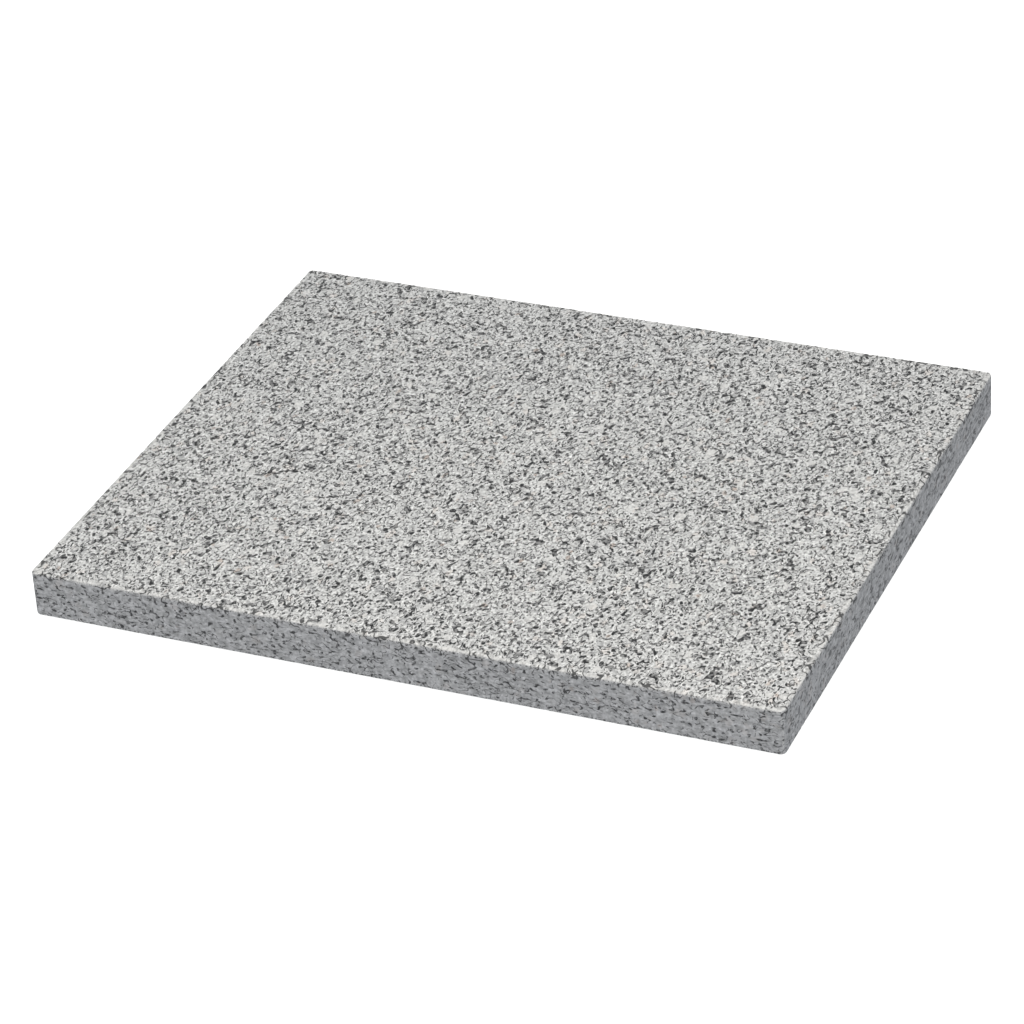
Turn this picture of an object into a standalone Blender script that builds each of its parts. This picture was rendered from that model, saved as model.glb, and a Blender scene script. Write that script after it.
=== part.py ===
"""Granite slab: the flat, heavy stone that leather is tooled, stamped and skived on.

It is one sawn piece of stone, with its upright corners rubbed round and the edges of both
faces eased.  Units are metres, +Z is up, +X runs along the long side, and the front long
side faces -Y.  The origin is the middle of the underside, where the slab rests on the bench.
"""

import math

import bmesh
import bpy

INCH = 0.0254

# Driving dimensions
LENGTH = 12 * INCH
WIDTH = 10 * INCH
THICKNESS = 0.75 * INCH
CORNER_RADIUS = 0.0025
ARRIS_RADIUS = 0.0010

# Facets across each rounding
CORNER_SEGMENTS = 8
ARRIS_SEGMENTS = 4

# Finish of the sawn and honed stone
STONE_COLOUR = (0.45, 0.45, 0.44, 1.0)
STONE_ROUGHNESS = 0.65
STONE_METALLIC = 0.0


def clear_scene():
    for obj in list(bpy.data.objects):
        bpy.data.objects.remove(obj, do_unlink=True)


def new_collection(name):
    collection = bpy.data.collections.new(name)
    bpy.context.scene.collection.children.link(collection)
    return collection


def honed_granite():
    material = bpy.data.materials.new("honed_granite")
    material.use_nodes = True
    shader = material.node_tree.nodes["Principled BSDF"]
    shader.inputs["Base Color"].default_value = STONE_COLOUR
    shader.inputs["Roughness"].default_value = STONE_ROUGHNESS
    shader.inputs["Metallic"].default_value = STONE_METALLIC
    material.diffuse_color = STONE_COLOUR
    return material


def sawn_block(name, size):
    """A rectangular block of the given size, resting on Z = 0, with its size in its mesh."""
    mesh = bpy.data.meshes.new(name)
    block = bmesh.new()
    bmesh.ops.create_cube(block, size=1.0)
    bmesh.ops.translate(block, vec=(0.0, 0.0, 0.5), verts=block.verts)
    bmesh.ops.scale(block, vec=size, verts=block.verts)
    block.to_mesh(mesh)
    block.free()
    return mesh


def mark_upright_edges(mesh):
    """Gives the four upright edges a bevel weight of 1 and leaves the others at 0."""
    weights = mesh.attributes.new("bevel_weight_edge", "FLOAT", "EDGE")
    for edge in mesh.edges:
        lower, upper = (mesh.vertices[i].co for i in edge.vertices)
        weights.data[edge.index].value = float(abs(upper.z - lower.z) > THICKNESS / 2)


def round_edges(obj, name, radius, segments, limit):
    bevel = obj.modifiers.new(name, "BEVEL")
    bevel.width = radius
    bevel.segments = segments
    bevel.limit_method = limit
    bevel.angle_limit = math.radians(60)
    bevel.use_clamp_overlap = False
    return bevel


def granite_slab(collection):
    mesh = sawn_block("granite_slab", (LENGTH, WIDTH, THICKNESS))
    mark_upright_edges(mesh)
    mesh.materials.append(honed_granite())
    slab = bpy.data.objects.new("granite_slab", mesh)
    collection.objects.link(slab)
    round_edges(slab, "upright_corners", CORNER_RADIUS, CORNER_SEGMENTS, "WEIGHT")
    round_edges(slab, "eased_arrises", ARRIS_RADIUS, ARRIS_SEGMENTS, "ANGLE")
    mesh.shade_smooth()
    mesh.set_sharp_from_angle(angle=math.radians(30))
    return slab


def main():
    clear_scene()
    granite_slab(new_collection("granite_slab"))


main()
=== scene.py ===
import math

import bpy
import numpy as np
from mathutils import Matrix, Vector


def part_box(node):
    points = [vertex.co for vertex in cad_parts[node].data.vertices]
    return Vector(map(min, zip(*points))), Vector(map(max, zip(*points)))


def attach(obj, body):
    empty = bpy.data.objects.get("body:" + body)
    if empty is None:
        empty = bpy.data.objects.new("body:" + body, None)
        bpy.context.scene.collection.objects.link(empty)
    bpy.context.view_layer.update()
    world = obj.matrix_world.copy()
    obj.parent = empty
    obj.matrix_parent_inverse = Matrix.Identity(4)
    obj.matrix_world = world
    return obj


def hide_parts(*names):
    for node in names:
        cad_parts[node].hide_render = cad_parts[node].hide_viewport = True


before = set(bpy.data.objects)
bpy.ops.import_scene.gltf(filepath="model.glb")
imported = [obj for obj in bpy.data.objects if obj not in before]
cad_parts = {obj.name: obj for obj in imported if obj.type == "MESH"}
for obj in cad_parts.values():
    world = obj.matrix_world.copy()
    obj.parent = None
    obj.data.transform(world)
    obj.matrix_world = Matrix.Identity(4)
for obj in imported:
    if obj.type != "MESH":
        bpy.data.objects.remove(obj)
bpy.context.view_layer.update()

mm = 0.001
slabLow, slabHigh = (np.array(corner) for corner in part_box("granite_slab"))
slabCentre = (slabLow + slabHigh) / 2
slabHalf = (slabHigh - slabLow) / 2
print("frame loaded, slab in mm:", ((slabHigh - slabLow) / mm).round(2))


# numpy noise, used for the wear on the stone

def hashed(cells, seed):
    # one repeatable random number from 0 to 1 for each whole-number cell: its indices are
    # multiplied by large primes, mixed by xor, then shifted and multiplied twice more
    mixed = cells[..., 0] * 73856093 ^ cells[..., 1] * 19349663 ^ cells[..., 2] * 83492791
    mixed = (mixed + seed * 668265263) & 0x7FFFFFFF
    for shift, prime in ((15, 2246822519), (13, 3266489917)):
        mixed = ((mixed ^ (mixed >> shift)) * prime) & 0x7FFFFFFF
    return ((mixed ^ (mixed >> 16)) & 0xFFFFFF) / 0xFFFFFF


def cloud(points, size, seed):
    # smooth noise from -1 to 1: the random numbers at a cell's eight corners, blended by
    # 3t^2 - 2t^3 along each axis
    spot = points / size
    cell = np.floor(spot).astype(np.int64)
    part = spot - cell
    part = part * part * (3 - 2 * part)
    total = np.zeros(points.shape[:-1])
    for corner in np.ndindex(2, 2, 2):
        share = np.prod(np.where(corner, part, 1 - part), axis=-1)
        total += share * hashed(cell + np.array(corner), seed)
    return 2 * total - 1


# the slab as one closed surface

shape = {
    "cornerRadius": 2.5 * mm,      # upright corners, rubbed round
    "arrisRadius": 0.7 * mm,       # where the sides meet the top and the underside
    "arrisSteps": 4,
    "sideSteps": 14,
    "sideSweep": 1.2,              # sweep of the sine that spaces them, in radians
    "topCells": (152, 128),        # long way and short way
    "topSplit": 4,                 # edge points to each cell of the top
    "underSplit": 8,               # and to each cell of the underside
    "rimRings": (0.18, 0.5, 1.0),  # fine rings inside each arris, as shares of the rim
    "rimWidth": 4.0 * mm,
    "joinWidth": 2.0 * mm,         # from the last fine ring to the cells
}

# islands on the UV map: scale in map widths to a metre, and the gap between islands
layout = {"top": 2.6, "side": 2.3, "under": 1.29, "gap": 0.004}


def turned(flat, turn):
    # points in the plane turned by quarter turns, anticlockwise
    cosine, sine = ((1, 0), (0, 1), (-1, 0), (0, -1))[turn]
    return flat @ np.array([[cosine, sine], [-sine, cosine]])


def roundOutline(half, radius, counts):
    # rectangle with round corners, anticlockwise from the middle of its front left corner.
    # Each side is spaced evenly from the middle of one corner's arc to the middle of the
    # next. Gives the points, the outward directions and the distances along each side.
    points, outward, runs = [], [], []
    for turn in range(4):
        along, across = half if turn % 2 == 0 else half[::-1]
        straight = along - radius
        reach = straight + radius * math.pi / 4
        run = np.linspace(-reach, reach, counts[turn % 2] + 1)
        angle = np.sign(run) * np.maximum(np.abs(run) - straight, 0) / radius
        facing = np.stack([np.sin(angle), -np.cos(angle)], -1)
        level = np.full_like(run, radius - across)
        spine = np.stack([np.clip(run, -straight, straight), level], -1)
        points.append(turned(spine + radius * facing, turn)[:-1])
        outward.append(turned(facing, turn)[:-1])
        runs.append(run + reach)
    return np.concatenate(points), np.concatenate(outward), runs


def squareOutline(half, counts):
    # the same order of points, evenly spaced round a rectangle with square corners
    points = []
    for turn in range(4):
        along, across = half if turn % 2 == 0 else half[::-1]
        run = np.linspace(-along, along, counts[turn % 2], endpoint=False)
        points.append(turned(np.stack([run, np.full_like(run, -across)], -1), turn))
    return np.concatenate(points)


def ringFaces(first, second):
    # four-sided faces between two rings with the same number of points
    return np.stack([first, np.roll(first, -1), np.roll(second, -1), second], -1)


def joinFaces(fine, coarse, split):
    # triangles from a fine ring to a coarse one. Of the fine edges that belong to a coarse
    # edge, the first half fan to its start and the rest to its end, with one triangle between.
    start = np.arange(len(coarse)) * split
    after = np.roll(coarse, -1)
    found = [np.stack([fine[start + split // 2], after, coarse], -1)]
    for step in range(split):
        tip = coarse if step < split // 2 else after
        nextFine = fine[(start + step + 1) % len(fine)]
        found.append(np.stack([fine[start + step], nextFine, tip], -1))
    return np.concatenate(found)


def gridBorder(grid):
    # point numbers round a grid's border, anticlockwise from its first corner
    return np.concatenate([grid[:-1, 0], grid[-1, :-1], grid[:0:-1, -1], grid[0, :0:-1]])


def gridFaces(grid):
    # four-sided faces of a grid of point numbers
    corners = [grid[:-1, :-1], grid[1:, :-1], grid[1:, 1:], grid[:-1, 1:]]
    return np.stack(corners, -1).reshape(-1, 4)


def edgeProfile():
    # from the underside's arris up to the top's: a quarter circle, the straight side with
    # its steps closer together near the ends (by a sine), and another quarter circle.
    # Gives distance out, height from the middle, and lean (0 outward, 90 degrees up).
    radius = shape["arrisRadius"]
    reach = slabHalf[2] - radius
    bend = np.linspace(0, math.pi / 2, shape["arrisSteps"] + 1)
    steps = np.linspace(-shape["sideSweep"], shape["sideSweep"], shape["sideSteps"] + 1)[1:-1]
    side = reach * np.sin(steps) / math.sin(shape["sideSweep"])
    inset = radius * (np.cos(bend) - 1)
    rise = reach + radius * np.sin(bend)
    out = np.concatenate([inset[::-1], 0 * side, inset])
    level = np.concatenate([-rise[::-1], side, rise])
    lean = np.concatenate([-bend[::-1], 0 * side, bend])
    return out, level, lean


class Surface:
    # collects rows of points, and faces with their places on the UV map
    def __init__(self):
        self.points, self.facing, self.faces, self.maps = [], [], [], []
        self.count = 0

    def addPoints(self, flat, level, facing):
        full = np.concatenate([flat, np.broadcast_to(level, flat.shape[:-1])[..., None]], -1)
        self.points.append(full.reshape(-1, 3))
        self.facing.append(np.broadcast_to(facing, full.shape).reshape(-1, 3))
        numbers = self.count + np.arange(full[..., 0].size).reshape(full.shape[:-1])
        self.count += numbers.size
        return numbers

    def addFaces(self, faces, places):
        self.faces.append(faces)
        self.maps.append(places)


def addWall(surface, outline, outward, runs):
    # the profile carried round the outline. On the UV map each side is an upright strip.
    out, level, lean = edgeProfile()
    flat = outline + outward * out[:, None, None]
    upward = np.broadcast_to(np.sin(lean)[:, None, None], flat.shape[:-1] + (1,))
    facing = np.concatenate([outward * np.cos(lean)[:, None, None], upward], -1)
    wall = surface.addPoints(flat, level[:, None], facing)
    climb = np.concatenate([[0], np.cumsum(np.hypot(np.diff(out), np.diff(level)))]) * layout["side"]
    left = 2 * slabHalf[0] * layout["top"] + 2 * layout["gap"]
    begin = np.concatenate([run[:-1] for run in runs]) * layout["side"] + layout["gap"]
    end = np.concatenate([run[1:] for run in runs]) * layout["side"] + layout["gap"]
    strip = np.repeat(np.arange(4), [len(run) - 1 for run in runs]) * (climb[-1] + layout["gap"])
    for row in range(len(level) - 1):
        low, high = left + strip + climb[row], left + strip + climb[row + 1]
        places = np.stack([np.stack([low, begin], -1), np.stack([low, end], -1),
                           np.stack([high, end], -1), np.stack([high, begin], -1)], 1)
        surface.addFaces(ringFaces(wall[row], wall[row + 1]), places)
    return wall[0], wall[-1]


def addFace(surface, ring, outline, side, split, counts):
    # the top (side 1) or underside (side -1): fine rings that go from the round-cornered
    # outline to a square-cornered one, a band of triangles, then a grid of cells
    level = side * slabHalf[2]
    up = np.array([0.0, 0.0, side])
    inner = slabHalf[:2] - shape["arrisRadius"] - shape["rimWidth"]
    square = squareOutline(inner, counts)
    found = []
    for share in shape["rimRings"]:
        nextRing = surface.addPoints(outline * (1 - share) + square * share, level, up)
        found.append(ringFaces(ring, nextRing))
        ring = nextRing
    reach = inner - shape["joinWidth"]
    lines = [np.linspace(-r, r, n // split + 1) for r, n in zip(reach, counts)]
    grid = surface.addPoints(np.stack(np.meshgrid(*lines, indexing="ij"), -1), level, up)
    found.append(joinFaces(ring, gridBorder(grid), split))
    found.append(gridFaces(grid))

    # the underside is mirrored, so its faces are turned over, and it lies past the top on
    # the UV map
    scale = layout["top" if side > 0 else "under"]
    low = np.array([layout["gap"], layout["gap"]])
    if side < 0:
        found = [faces[:, ::-1] for faces in found]
        low[1] += 2 * slabHalf[1] * layout["top"] + layout["gap"]
    flat = np.concatenate(surface.points)[:, :2]
    for faces in found:
        surface.addFaces(faces, (flat[faces] + slabHalf[:2]) * scale + low)


wear = {
    "seed": 7,                          # for where the chips are and how large
    "chips": 380,                       # on all the arrises together
    "chipSize": (0.45 * mm, 1.7 * mm),  # radius of the smallest and the largest
    "chipSkew": 2.2,                    # the higher, the more of them are small
    "chipDepth": 0.17,                  # as a share of the radius
    "chipReach": 4 * mm,                # no chip runs further than this up or down a side
    "chipRagged": 0.3,
    "bruiseDepth": 0.12 * mm,           # a chip this deep is bruised all through
    "crumble": 0.10 * mm,               # unevenness of the arrises
    "crumbleWidth": 1.6 * mm,           # how far it reaches from an arris
    "under": 0.35,                      # chips and crumbling round the underside, as a share
    "sawn": 0.030 * mm,                 # unevenness of the sides and the underside
    "honed": 0.010 * mm,                # unevenness of the top

    # size and seed of the noise behind each
    "raggedNoise": (0.7 * mm, 9),
    "crumbleNoise": (1.1 * mm, 3),
    "sawnNoise": (2.6 * mm, 5),
    "gritNoise": (0.9 * mm, 6),
    "honedNoise": (9 * mm, 8),
}


def chipDepths(points, facing, close):
    # how deep the chips are at the points numbered in close. Each is a scoop round a point
    # on the middle of an arris. Its depth falls off from there as (1 - d^2/r^2)^2, where d is
    # bent by noise so that the rim is ragged, and where chips meet the deeper one counts.
    draw = np.random.default_rng(wear["seed"])
    arris = np.flatnonzero(np.abs(np.abs(facing[:, 2]) - math.sin(math.pi / 4)) < 0.01)
    middles = points[draw.choice(arris, wear["chips"], replace=False)]
    small, large = wear["chipSize"]
    radii = small * (large / small) ** (draw.random(wear["chips"]) ** wear["chipSkew"])
    ragged = 1 + wear["chipRagged"] * cloud(points[close], *wear["raggedNoise"])
    scoop = np.zeros(len(close))
    for middle, radius in zip(middles, radii):
        share = np.linalg.norm(points[close] - middle, axis=-1) * ragged / radius
        depth = wear["chipDepth"] * radius * np.clip(1 - share**2, 0, 1) ** 2
        scoop = np.maximum(scoop, depth)
    return scoop


def wearOf(points, facing):
    # how far each point is pushed in, how far it is from an edge, and how bruised it is
    # from 0 to 1. The way to an edge is the second smallest gap to the block's planes. The
    # push is crumbling near the edges, then saw marks, which the top has instead as faint
    # honing marks, and then the chips.
    edge = np.sort(slabHalf - np.abs(points), axis=-1)[:, 1]
    near = np.clip(1 - edge / wear["crumbleWidth"], 0, 1)
    near = near * near * (3 - 2 * near)
    sawn = np.clip(1.4 - 1.6 * facing[:, 2], 0, 1)
    worn = np.where(points[:, 2] > 0, 1, wear["under"])
    crumbled = np.clip(0.35 + 0.9 * cloud(points, *wear["crumbleNoise"]), 0, 1)
    sawMarks = 0.5 + 0.3 * cloud(points, *wear["sawnNoise"]) + 0.2 * cloud(points, *wear["gritNoise"])
    honing = 0.5 + 0.5 * cloud(points, *wear["honedNoise"])
    push = wear["crumble"] * worn * near * crumbled
    push += wear["sawn"] * sawn * sawMarks
    push += wear["honed"] * (1 - sawn) * honing

    close = np.flatnonzero((near > 0) & (np.abs(points[:, 2]) > slabHalf[2] - wear["chipReach"]))
    scoop = chipDepths(points, facing, close) * worn[close]
    push[close] += scoop
    bruise = np.zeros(len(points))
    bruise[close] = np.clip(scoop / wear["bruiseDepth"], 0, 1)
    return push, edge, bruise


def makeStone():
    # the wall goes round the outline, the top and the underside close it, and then every
    # point is pushed in by its wear
    surface = Surface()
    counts = [cells * shape["topSplit"] for cells in shape["topCells"]]
    outline, outward, runs = roundOutline(slabHalf[:2], shape["cornerRadius"], counts)
    bottomRing, topRing = addWall(surface, outline, outward, runs)
    eased = outline - outward * shape["arrisRadius"]
    addFace(surface, topRing, eased, 1, shape["topSplit"], counts)
    addFace(surface, bottomRing, eased, -1, shape["underSplit"], counts)
    points, facing = np.concatenate(surface.points), np.concatenate(surface.facing)
    push, edge, bruise = wearOf(points, facing)
    points = points - facing * push[:, None] + slabCentre
    faces = [face for group in surface.faces for face in group.tolist()]
    places = np.concatenate([group.reshape(-1) for group in surface.maps])

    mesh = bpy.data.meshes.new("granite_stone")
    mesh.from_pydata(points.tolist(), [], faces)
    uv = mesh.uv_layers.new(name="OFBake")
    uv.uv.foreach_set("vector", places.astype(np.float32))
    for name, values in (("edge", edge / mm), ("bruise", bruise)):
        attribute = mesh.attributes.new(name, "FLOAT", "POINT")
        attribute.data.foreach_set("value", values.astype(np.float32))
    mesh.shade_smooth()
    mesh.update()
    piece = bpy.data.objects.new("granite_stone", mesh)
    bpy.context.scene.collection.objects.link(piece)
    print("stone:", len(points), "points,", sum(len(face) - 2 for face in faces), "triangles")
    return piece


# shader maths written as sums

class Socket:
    # a node's output that can be used in a sum
    def __init__(self, graph, plug):
        self.graph = graph
        self.plug = plug

    def output(self, name):
        return Socket(self.graph, self.plug.node.outputs[name])

    def __add__(self, other):
        return self.graph.sum("ADD", self, other)

    def __sub__(self, other):
        return self.graph.sum("SUBTRACT", self, other)

    def __mul__(self, other):
        return self.graph.sum("MULTIPLY", self, other)

    def __radd__(self, other):
        return self.graph.sum("ADD", other, self)

    def __rsub__(self, other):
        return self.graph.sum("SUBTRACT", other, self)

    def __rmul__(self, other):
        return self.graph.sum("MULTIPLY", other, self)


class Graph:
    def __init__(self, name):
        self.material = bpy.data.materials.new(name)
        self.material.use_nodes = True
        self.tree = self.material.node_tree
        self.tree.nodes.clear()

    def node(self, kind, settings=None, values=None, output=0):
        # any node: its kind, its settings, then the values or links of its sockets
        made = self.tree.nodes.new("ShaderNode" + kind)
        for name, value in (settings or {}).items():
            setattr(made, name, value)
        for name, value in (values or {}).items():
            if isinstance(value, Socket):
                self.tree.links.new(value.plug, made.inputs[name])
            else:
                made.inputs[name].default_value = value
        return Socket(self, made.outputs[output]) if made.outputs else None

    def sum(self, operation, first, second):
        return self.node("Math", {"operation": operation}, {0: first, 1: second})

    def larger(self, first, second):
        return self.sum("MAXIMUM", first, second)

    def gap(self, value, middle):
        # how far a value is from a middle one, either way
        return self.node("Math", {"operation": "ABSOLUTE"}, {0: value - middle})

    def step(self, value, low, high):
        # 0 below low, 1 above high, and 3t^2 - 2t^3 between. Low may be the larger one.
        names = {"Value": value, "From Min": low, "From Max": high}
        return self.node("MapRange", {"interpolation_type": "SMOOTHSTEP"}, names)

    def vectorSum(self, operation, first, second):
        return self.node("VectorMath", {"operation": operation}, {0: first, 1: second})

    def scaled(self, vector, amount):
        return self.node("VectorMath", {"operation": "SCALE"}, {0: vector, "Scale": amount})

    def mix(self, share, first, second):
        return self.node("Mix", {"data_type": "RGBA"}, {0: share, 6: first, 7: second}, 2)

    def parts(self, colour):
        split = self.node("SeparateColor", {}, {0: colour})
        return split, split.output("Green"), split.output("Blue")

    def noise(self, place, size, detail=1.0):
        return self.node("TexNoise", {}, {"Vector": place, "Scale": 1 / size, "Detail": detail})

    def patches(self, place, size, detail, low, high):
        # the step function of a noise, which makes separate patches
        return self.step(self.noise(place, size, detail), low, high)

    def winding(self, place, size, detail=0.0):
        # how far a noise is from its middle value: nothing along thin winding lines
        return self.gap(self.noise(place, size, detail), 0.5)

    def crystals(self, place, size, feature="F1"):
        return self.node("TexVoronoi", {"feature": feature}, {"Vector": place, "Scale": 1 / size})

    def attribute(self, name):
        return self.node("Attribute", {"attribute_name": name}, output="Fac")


# the granite, with its sizes in mm

granite = {
    "stretch": 0.68,                # the grain is a little longer across the slab than along it
    "lying": (0.72, 1.0, 1.1),      # and on the sides it is longer along each side than up it
    "grain": 1.7,                   # feldspar and quartz crystals
    "coarse": 2.6,                  # the larger crystals among them
    "bends": (0.9, 1.5),            # bends in a crystal's border to a mm, and their detail
    "bendDepth": 1.6,
    "fine": (0.95, 0.2),            # size and detail of the noise inside the crystals
    "soft": (1.2, 0.5),             # and of the one across them
    "sawnDepth": (0.25, 0.75),      # the sawn finish starts and is full this far below the top
    "endDepth": (1.0, 0.25),        # and the short sides' finish, this far in from their faces
    "toneShare": 0.50,              # how light a crystal is: what its own tone adds,
    "coarseToneShare": 0.05,        # what the tone of the larger one round it adds,
    "softShare": 0.4,               # and what the soft noise adds
    "coarseKindShare": 0.2,         # how far the larger one decides which are quartz

    # Mica. A pair says where on its noise or its lines a flake begins and where it is full,
    # and with patches the size and the detail of the noise come before the pair.
    "flake": (1.8, 0.2),
    "flakeCut": (0.376, 0.357),
    "apart": (0.38, 0.42),                     # on the same noise, where the next two kinds lie
    "curl": 2.15,                              # thin curved flakes
    "curlShift": (31.0, 17.0, 5.0),
    "curlCut": (0.059, 0.045),
    "curlPatches": (1.15, 0.5, 0.47, 0.52),
    "borderCut": (0.14, 0.10),                 # flakes along the larger crystals' borders
    "borderPatches": (1.1, 1.0, 0.54, 0.60),
    "sideFlakes": (1.6, 0.2, 0.366, 0.342),    # flakes and curls on the sides
    "sideCurlCut": (0.036, 0.018),
    "sideCurlPatches": (1.8, 0.5, 0.47, 0.54),
    "vein": 9.0,                               # dark veins along the sides
    "veinFlat": (1.0, 1.0, 4.0),               # pressed flat, so that they run level
    "veinCut": (0.028, 0.012),
    "veinPatches": (14.0, 1.0, 0.48, 0.54),
    "veinBreaks": (0.40, 0.52),                # on the fine noise
    "bold": 3.0,                               # bold flakes across the arrises
    "boldShift": (7.0, 43.0, 19.0),
    "boldCut": (0.060, 0.038),
    "boldPatches": (6.0, 1.0, 0.45, 0.50),
    "boldReach": (3.0, 2.0),                   # from an edge
    "boldDark": 0.9,
    "strength": (1.2, 0.5, 0.36, 0.60),        # patches where the flakes are stronger
    "weakest": 0.65,

    # what weakens the flakes, where, and by how much
    "rimReach": (3.4, 0.9),                    # the pale bruised band along the top's edges
    "rimPatches": (5.0, 1.0, 0.38, 0.55),
    "rimFade": 0.72,
    "rimCrushed": 0.45,                        # share of crushed stone there
    "pale": (0.035, 0.02),                     # the few palest of the larger crystals
    "paleFade": 0.8,
    "paleCrushed": 0.5,
    "sawnFade": 0.11,
    "endFade": 0.2,                            # more of it on the short sides

    # nicks along the upright corners and the lower arris
    "nick": 0.8,
    "nickReach": (1.3, 0.8),
    "nickDark": (0.46, 0.41),
    "nickPale": (0.51, 0.55),
    "nickShare": 0.7,

    # colours
    "feldspar": (0.725, 0.728, 0.725),
    "quartz": (0.54, 0.544, 0.548),
    "quartzCut": (0.76, 0.86),
    "toneAndHighlight": 0.645,                            # a crystal's tone, before the next three change it; the last of them adds a painted highlight
    "lightShade": 0.26,
    "fineShade": 1.0,
    "paintedHighlightShade": 0.14,                         # painted highlight: a lit fringe of paler feldspar round the flakes
    "paintedHighlight": (0.50, 0.38),
    "mica": (0.008, 0.008, 0.009),
    "dust": (0.416, 0.411, 0.424),             # left in the rough face by the saw
    "dustShare": 0.54,
    "grit": (2.0, 2.0),                        # size and detail of the dust's unevenness
    "gritDepth": 2.8,
    "endGrit": 0.8,                            # that much less on the short sides
    "endDust": 0.04,                           # and their dust is that much darker
    "cream": (0.71, 0.645, 0.60),              # iron-stained crystals
    "creamCut": (0.94, 0.98),
    "rust": (0.34, 0.21, 0.13),
    "rustCut": (0.992, 0.996),
    "stainShare": 0.4,
    "stained": (slabHigh[0], slabLow[1], slabHigh[2]),     # they gather at this corner, in metres
    "stainedReach": (60.0, 5.0),
    "stainedBoost": 0.12,
    "crushed": (0.68, 0.673, 0.66),            # bruised stone along the arrises
    "bruiseShare": 0.6,                        # and in the chips

    "roughness": (0.42, 0.68),
    "sawnRoughness": 0.2,                      # added on the sides
    "relief": 0.05,
    "reliefStrength": 0.4,
    "raised": (0.6, 0.6),                      # by how light the stone is, and by the fine noise
    "sunken": 0.8,                             # under mica
}


def graniteColour(name):
    # with the fourth number that a colour socket takes
    return (*granite[name], 1)


def topFlakes(graph, place, bent, worm):
    # short flakes where the noise worm is low, curved ones along broken stretches of
    # another noise's winding lines, and ones along broken stretches of the larger crystals'
    # borders
    flakes = graph.step(worm, *granite["flakeCut"])
    apart = graph.step(worm, *granite["apart"])
    curl = graph.winding(graph.vectorSum("ADD", place, granite["curlShift"]), granite["curl"])
    broken = graph.patches(place, *granite["curlPatches"])
    flakes = graph.larger(flakes, graph.step(curl, *granite["curlCut"]) * broken * apart)
    border = graph.crystals(bent, granite["coarse"], "DISTANCE_TO_EDGE")
    broken = graph.patches(place, *granite["borderPatches"])
    return graph.larger(flakes, graph.step(border, *granite["borderCut"]) * broken * apart)


def sideFlakes(graph, lying):
    # fewer flakes than on the top: patches of noise, and broken stretches of winding lines
    flakes = graph.patches(lying, *granite["sideFlakes"])
    curl = graph.winding(graph.vectorSum("ADD", lying, granite["curlShift"]), granite["curl"])
    broken = graph.patches(lying, *granite["sideCurlPatches"])
    return graph.larger(flakes, graph.step(curl, *granite["sideCurlCut"]) * broken)


def sideVeins(graph, place, fine):
    # thin dark veins: stretches of the winding lines of a flattened noise, broken up by the
    # fine noise
    line = graph.winding(graph.vectorSum("MULTIPLY", place, granite["veinFlat"]), granite["vein"], 1.0)
    vein = graph.step(line, *granite["veinCut"])
    return vein * graph.patches(place, *granite["veinPatches"]) * graph.step(fine, *granite["veinBreaks"])


def boldFlakes(graph, place, edge, height):
    # a few bold flakes across the arrises, stronger towards the top: stretches of winding
    # lines close to an edge
    line = graph.winding(graph.vectorSum("ADD", place, granite["boldShift"]), granite["bold"])
    bold = graph.step(line, *granite["boldCut"])
    upper = graph.step(height, slabCentre[2], slabHigh[2])
    sparse = graph.patches(place, *granite["boldPatches"])
    return bold * sparse * upper * graph.step(edge, *granite["boldReach"]) * granite["boldDark"]


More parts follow.
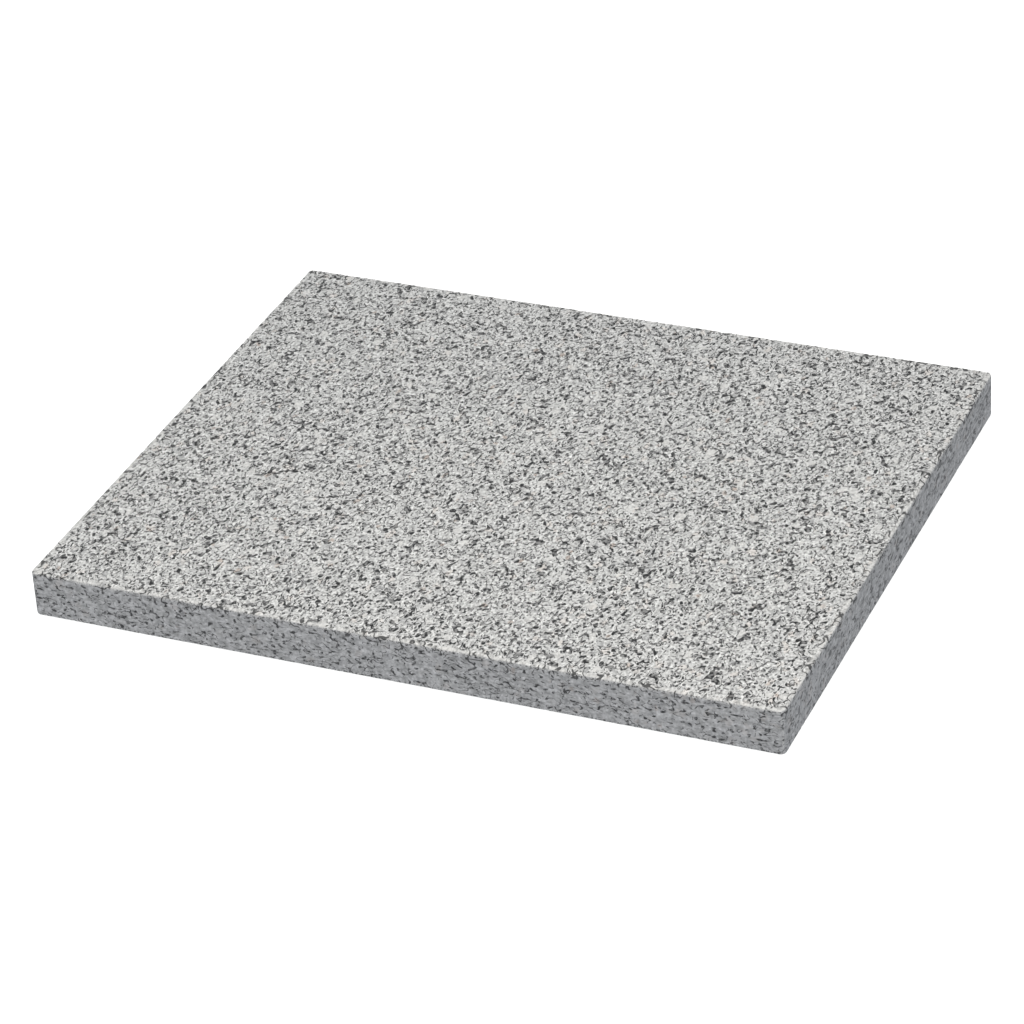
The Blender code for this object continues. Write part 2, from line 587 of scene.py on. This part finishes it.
def graniteFinish():
    # granite in the slab's own coordinates, scaled to mm, with the way to an edge and the
    # bruising from the mesh
    graph = Graph("honed_granite")
    spot = graph.node("TexCoord", output="Object")
    across, height = (graph.node("SeparateXYZ", {}, {0: spot}, axis) for axis in "XZ")
    edge, bruise = (graph.attribute(name) for name in ("edge", "bruise"))

    # sawn is 0 on the honed top and 1 below it, and ends is 1 on the two short sides
    sawn = graph.step(height, *(slabHigh[2] - depth * mm for depth in granite["sawnDepth"]))
    endStep = (slabHalf[0] - depth * mm for depth in granite["endDepth"])
    ends = graph.step(graph.gap(across, slabCentre[0]), *endStep)
    place = graph.vectorSum("MULTIPLY", spot, (1 / mm, granite["stretch"] / mm, 1 / mm))
    lying = graph.vectorSum("MULTIPLY", place, granite["lying"])

    # crystals: cells with ragged borders, each with its own tone
    bends, bendDetail = granite["bends"]
    ragged = graph.node("TexNoise", {}, {"Vector": place, "Scale": bends, "Detail": bendDetail}, "Color")
    ragged = graph.scaled(graph.vectorSum("SUBTRACT", ragged, (0.5, 0.5, 0.5)), granite["bendDepth"])
    bent = graph.vectorSum("ADD", place, ragged)
    tone, kind, tint = graph.parts(graph.crystals(bent, granite["grain"]).output("Color"))
    coarse = graph.crystals(bent, granite["coarse"]).output("Color")
    coarseTone, coarseKind, coarseTint = graph.parts(coarse)
    fine = graph.noise(place, *granite["fine"])
    soft = graph.noise(place, *granite["soft"])
    light = granite["toneShare"] * tone + granite["coarseToneShare"] * coarseTone
    light = light + granite["softShare"] * soft

    # mica: one kind of pattern on the top, another on the sides
    worm = graph.noise(place, *granite["flake"])
    flakes = graph.larger(topFlakes(graph, place, bent, worm) * (1 - sawn), sideFlakes(graph, lying) * sawn)
    flakes = graph.larger(flakes, sideVeins(graph, place, fine) * sawn)

    # the flakes are weaker in the bruised band along the top's edges, in the palest
    # crystals, and on the sides, where the saw's dust dulls them
    rim = graph.step(edge, *granite["rimReach"]) * graph.patches(place, *granite["rimPatches"]) * (1 - sawn)
    pale = graph.step(coarseKind, *granite["pale"])
    strength = graph.patches(place, *granite["strength"])
    dark = flakes * (granite["weakest"] + (1 - granite["weakest"]) * strength)
    dark = dark * (1 - granite["rimFade"] * rim) * (1 - granite["paleFade"] * pale)
    dark = dark * (1 - granite["sawnFade"] * sawn - granite["endFade"] * ends * sawn)

    # the upright corners and the lower arris are nicked, which leaves pale and dark dots
    nick = graph.noise(place, granite["nick"])
    nicked = graph.step(edge, *granite["nickReach"]) * sawn
    darkNicks = granite["nickShare"] * nicked * graph.step(nick, *granite["nickDark"])
    paleNicks = nicked * graph.step(nick, *granite["nickPale"])
    dark = graph.larger(dark, darkNicks)
    dark = graph.larger(dark, boldFlakes(graph, place, edge, height))

    # colour: feldspar or quartz times its tone, which holds a painted highlight round the flakes, a few
    # stained crystals, crushed stone, dust, then mica, and the chips' pale stone over all
    coarseShare = granite["coarseKindShare"]
    grey = graph.step(coarseKind * coarseShare + kind * (1 - coarseShare), *granite["quartzCut"])
    # painted highlight: the feldspar is made lighter in a fringe round each flake, as if its edge were lit
    paintedHighlight = graph.step(worm, *granite["paintedHighlight"])
    toneAndHighlight = granite["toneAndHighlight"] + granite["lightShade"] * light + granite["fineShade"] * (fine - 0.5)
    toneAndHighlight = toneAndHighlight + granite["paintedHighlightShade"] * paintedHighlight
    base = graph.mix(grey, graniteColour("feldspar"), graniteColour("quartz"))
    base = graph.scaled(base, toneAndHighlight)
    away = graph.node("VectorMath", {"operation": "DISTANCE"}, {0: spot, 1: granite["stained"]}, "Value")
    warm = graph.step(away, *(reach * mm for reach in granite["stainedReach"]))
    cream = graph.step(coarseTint + granite["stainedBoost"] * warm, *granite["creamCut"])
    rust = graph.step(tint, *granite["rustCut"])
    base = graph.mix(cream * granite["stainShare"], base, graniteColour("cream"))
    base = graph.mix(rust * granite["stainShare"], base, graniteColour("rust"))
    crushed = pale * granite["paleCrushed"] + rim * granite["rimCrushed"]
    base = graph.mix(crushed, base, graniteColour("crushed"))
    grit = graph.noise(lying, *granite["grit"])
    uneven = (granite["gritDepth"] - granite["endGrit"] * ends) * (grit - 0.5)
    dust = graph.scaled(granite["dust"], 1.0 - granite["endDust"] * ends + uneven)
    base = graph.mix(sawn * granite["dustShare"], base, dust)
    colour = graph.mix(dark, base, graniteColour("mica"))
    chipped = graph.larger(granite["bruiseShare"] * bruise, granite["nickShare"] * paleNicks)
    colour = graph.mix(chipped, colour, graniteColour("crushed"))

    # light stone and fine noise raise the surface and mica lowers it
    lightRaised, fineRaised = granite["raised"]
    relief = lightRaised * light + fineRaised * fine - granite["sunken"] * dark
    bumps = graph.node("Bump", {}, {"Strength": granite["reliefStrength"],
                                    "Distance": granite["relief"] * mm, "Height": relief})
    low, high = granite["roughness"]
    rough = low + (high - low) * fine + granite["sawnRoughness"] * sawn
    values = {"Base Color": colour, "Roughness": rough, "Normal": bumps}
    graph.node("OutputMaterial", {}, {"Surface": graph.node("BsdfPrincipled", {}, values)})
    return graph.material


# floor, light and camera

studio = {
    "floorRadius": 3.0,
    "flatRings": (0.001, 0.5),     # round the small hole in the middle, and round the slab
    "bendRadius": 1.5,             # where the floor turns up into the backdrop
    "bendSteps": 12,
    "floorSides": 64,
    "floorColour": (0.5, 0.5, 0.5),
    "floorGlow": 0.8,              # the floor and backdrop are lit from behind, as in a light tent
    "floorGap": 0.2 * mm,          # under the slab
    "keySize": 0.8,
    "keyPlace": (0.08, -0.235, 0.758),
    "keyPower": 5.5,
    "keyColour": (1.0, 0.96, 0.89),
    "fill": (0.485, 0.504, 0.525),
}

camera = {
    "azimuth": 24.60,              # degrees, 0 looks along +Y
    "elevation": 31.58,
    "roll": -3.76,
    "distance": 1.610,             # from the point aimed at
    "lens": 142.91,                # mm on a 36 mm sensor
    "aim": (-6.6 * mm, 0.0, -1.8 * mm),
}


def floorMesh():
    # a flat floor that turns up through a quarter circle into a wall: that profile is
    # carried round the upright axis, and one face closes the small hole in the middle
    sides, bendRadius = studio["floorSides"], studio["bendRadius"]
    wallRadius = studio["floorRadius"] + bendRadius
    bend = np.linspace(0, math.pi / 2, studio["bendSteps"] + 1)
    curve = studio["floorRadius"] + bendRadius * np.sin(bend)
    out = np.concatenate([studio["flatRings"], curve, [wallRadius]])
    level = np.concatenate([[0, 0], bendRadius * (1 - np.cos(bend)), [2 * bendRadius]])
    turn = np.linspace(0, 2 * math.pi, sides, endpoint=False)
    points = np.stack([out[:, None] * np.cos(turn), out[:, None] * np.sin(turn),
                       np.broadcast_to(level[:, None], (len(out), sides))], -1)
    rows = np.arange(points[..., 0].size).reshape(len(out), sides)
    faces = np.concatenate([ringFaces(low, high)[:, ::-1] for low, high in zip(rows[:-1], rows[1:])])
    mesh = bpy.data.meshes.new("studio_floor")
    mesh.from_pydata(points.reshape(-1, 3).tolist(), [], faces.tolist() + [rows[0].tolist()])
    mesh.shade_smooth()
    return mesh


def makeFloor():
    floor = bpy.data.objects.new("studio_floor", floorMesh())
    graph = Graph("studio_floor")
    values = {"Base Color": (*studio["floorColour"], 1), "Roughness": 0.9, "Specular IOR Level": 0.0,
              "Emission Color": (1, 1, 1, 1), "Emission Strength": studio["floorGlow"]}
    graph.node("OutputMaterial", {}, {"Surface": graph.node("BsdfPrincipled", {}, values)})
    floor.data.materials.append(graph.material)
    floor.location.z = slabLow[2] - studio["floorGap"]
    floor.visible_diffuse = False
    floor.visible_glossy = False
    bpy.context.scene.collection.objects.link(floor)


def makeLight():
    lamp = bpy.data.lights.new("overhead_softbox", "AREA")
    lamp.shape = "SQUARE"
    lamp.size = studio["keySize"]
    lamp.energy = studio["keyPower"]
    lamp.color = studio["keyColour"]
    softbox = bpy.data.objects.new("overhead_softbox", lamp)
    softbox.location = studio["keyPlace"]
    softbox.rotation_euler = (-softbox.location).to_track_quat("-Z", "Y").to_euler()
    softbox.visible_camera = False
    bpy.context.scene.collection.objects.link(softbox)
    world = bpy.data.worlds.new("fill")
    world.use_nodes = True
    world.node_tree.nodes["Background"].inputs["Color"].default_value = (*studio["fill"], 1.0)
    bpy.context.scene.world = world
    bpy.context.scene.view_settings.view_transform = "Standard"


def makeCamera():
    # the camera stands off from the point aimed at, along (sin a cos e, -cos a cos e, sin e),
    # looks back at it and is then rolled
    azimuth, elevation, roll = (math.radians(camera[name]) for name in ("azimuth", "elevation", "roll"))
    back = Vector((math.sin(azimuth) * math.cos(elevation), -math.cos(azimuth) * math.cos(elevation),
                   math.sin(elevation)))
    right = Vector((math.cos(azimuth), math.sin(azimuth), 0))
    up = back.cross(right)
    data = bpy.data.cameras.new("camera")
    data.lens = camera["lens"]
    data.clip_start = 0.05
    data.clip_end = 50
    turn = Matrix((right * math.cos(roll) + up * math.sin(roll),
                   up * math.cos(roll) - right * math.sin(roll), back)).transposed()
    base = Vector((slabCentre[0], slabCentre[1], slabLow[2]))
    place = base + Vector(camera["aim"]) + back * camera["distance"]
    eye = bpy.data.objects.new("camera", data)
    eye.matrix_world = Matrix.Translation(place) @ turn.to_4x4()
    bpy.context.scene.collection.objects.link(eye)
    bpy.context.scene.camera = eye


makeCamera()
stone = makeStone()
stone.data.materials.append(graniteFinish())
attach(stone, "root")
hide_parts("granite_slab")
print("granite finish on the stone")
makeFloor()
makeLight()
print("floor, light and camera in place")
